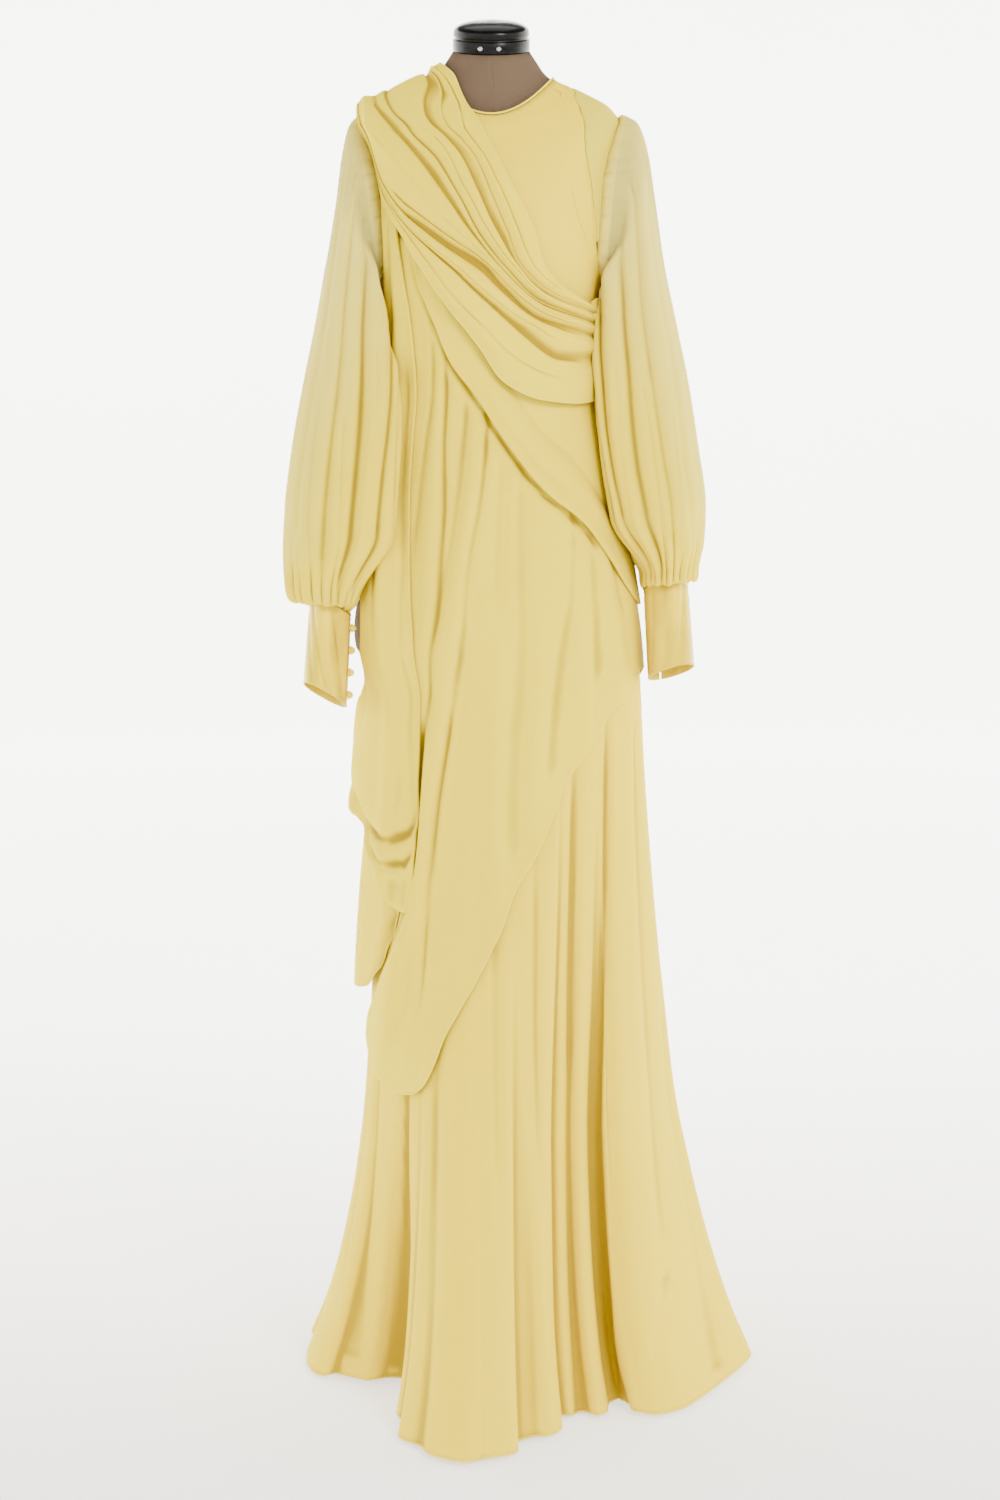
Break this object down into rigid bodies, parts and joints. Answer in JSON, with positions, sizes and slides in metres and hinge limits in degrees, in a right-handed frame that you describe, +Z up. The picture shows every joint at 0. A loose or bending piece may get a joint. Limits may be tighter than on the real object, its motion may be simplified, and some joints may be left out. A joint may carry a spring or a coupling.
{
  "type": "dress on a dress form",
  "caption": "Bias-cut draped gown with a pleated shoulder sash, bishop sleeves gathered to buttoned cuffs and a fluted hem, worn by a linen dress form on a pole and round base",
  "frame": {"origin": "centre of the base's underside, on the floor under the form's pole", "axes": "+Z up along the pole, -Y to the front of the gown, +X to the right of someone who looks at the front"},
  "size_m": [0.586, 0.7043, 1.6743],
  "materials": {
    "gown_chiffon": "soft matt silk chiffon, butter yellow",
    "cuff_charmeuse": "silk charmeuse with a soft sheen, butter yellow",
    "form_linen": "taupe woven linen cover",
    "cap_plastic": "gloss black moulding",
    "pole_steel": "brushed steel tube",
    "base_iron": "black painted cast iron disc"
  },
  "bodies": {
    "root": {"form_torso": "form_linen", "form_neck_cap": "cap_plastic", "form_cap_screw_left": "cap_plastic", "form_cap_screw_right": "cap_plastic", "form_pole": "pole_steel", "form_base": "base_iron", "bodice_front": "gown_chiffon", "bodice_side_left": "gown_chiffon", "bodice_side_right": "gown_chiffon", "bodice_back_left": "gown_chiffon", "bodice_back_right": "gown_chiffon", "neck_binding": "gown_chiffon", "skirt_front": "gown_chiffon", "skirt_back_left": "gown_chiffon", "skirt_back_right": "gown_chiffon", "overlay_front": "gown_chiffon", "overlay_side_fall": "gown_chiffon", "overlay_back": "gown_chiffon", "hip_wrap": "gown_chiffon", "sash": "gown_chiffon", "sleeve_left": "gown_chiffon", "sleeve_right": "gown_chiffon", "cuff_left": "cuff_charmeuse", "cuff_right": "cuff_charmeuse", "cuff_left_button_1": "cuff_charmeuse", "cuff_left_button_2": "cuff_charmeuse", "cuff_left_button_3": "cuff_charmeuse", "cuff_left_button_4": "cuff_charmeuse", "cuff_right_button_1": "cuff_charmeuse", "cuff_right_button_2": "cuff_charmeuse", "cuff_right_button_3": "cuff_charmeuse", "cuff_right_button_4": "cuff_charmeuse"}
  },
  "joints": []
}
